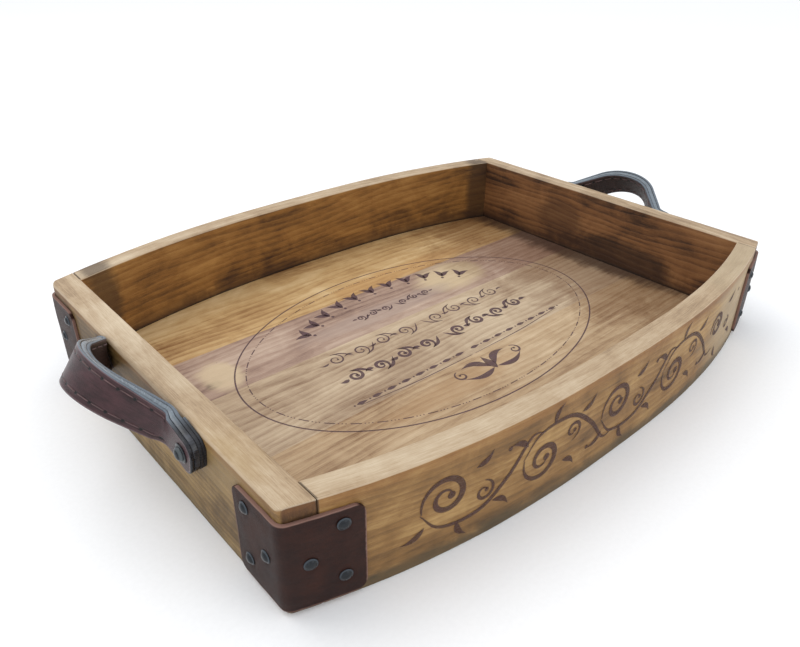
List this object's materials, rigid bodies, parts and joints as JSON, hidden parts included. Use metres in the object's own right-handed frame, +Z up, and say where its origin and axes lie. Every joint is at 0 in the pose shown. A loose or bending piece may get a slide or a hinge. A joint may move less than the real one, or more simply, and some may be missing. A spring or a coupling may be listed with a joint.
{
  "type": "serving tray",
  "caption": "Bowed wooden serving tray with straight end boards, leather corner patches with domed nails, and stitched leather strap handles.",
  "frame": {"origin": "middle of the tray's underside, on the table", "axes": "+X along the tray's length from handle to handle, -Y to the front, +Z up"},
  "size_m": [0.5934, 0.388, 0.1021],
  "materials": {
    "wall_wood": "waxed, honey-brown stain over pale softwood",
    "floor_wood": "waxed, golden planks with one dark plank",
    "dowel_wood": "raw beech",
    "patch_leather": "oiled oxblood leather, satin",
    "strap_leather": "oiled oxblood leather, satin",
    "lining_leather": "dark brown leather with a pressed grid",
    "strap_filler": "leather board with black edge paint, glossy",
    "thread": "waxed thread",
    "black_metal": "black oxide, satin"
  },
  "bodies": {
    "tray": {"end_board_left": "wall_wood", "end_board_right": "wall_wood", "side_stave_front": "wall_wood", "side_stave_back": "wall_wood", "floor_plank_1": "floor_wood", "floor_plank_2": "floor_wood", "floor_plank_3": "floor_wood", "floor_plank_4": "floor_wood", "floor_plank_5": "floor_wood", "dowels_front_left": "dowel_wood", "dowels_front_right": "dowel_wood", "dowels_back_left": "dowel_wood", "dowels_back_right": "dowel_wood", "patch_front_left": "patch_leather", "patch_front_right": "patch_leather", "patch_back_left": "patch_leather", "patch_back_right": "patch_leather", "nails_front_left": "black_metal", "nails_front_right": "black_metal", "nails_back_left": "black_metal", "nails_back_right": "black_metal", "handle_left_end_faces": "strap_leather", "handle_left_end_cores": "strap_filler", "handle_left_end_linings": "lining_leather", "handle_left_pads": "lining_leather", "handle_left_washers": "black_metal", "handle_left_screws": "black_metal", "handle_right_end_faces": "strap_leather", "handle_right_end_cores": "strap_filler", "handle_right_end_linings": "lining_leather", "handle_right_pads": "lining_leather", "handle_right_washers": "black_metal", "handle_right_screws": "black_metal"},
    "handle_left": {"handle_left_face": "strap_leather", "handle_left_core": "strap_filler", "handle_left_lining": "lining_leather", "handle_left_thread": "thread"},
    "handle_right": {"handle_right_face": "strap_leather", "handle_right_core": "strap_filler", "handle_right_lining": "lining_leather", "handle_right_thread": "thread"}
  },
  "joints": [
    {"name": "handle_left_swing", "type": "hinge", "parent": "tray", "child": "handle_left", "pos_m": [-0.2645, -0.003, 0.0722], "axis": [0, 1, 0], "range_deg": [-45, 30]},
    {"name": "handle_right_swing", "type": "hinge", "parent": "tray", "child": "handle_right", "pos_m": [0.2652, -0.005, 0.0654], "axis": [0, -1, 0], "range_deg": [-32, 48]}
  ]
}
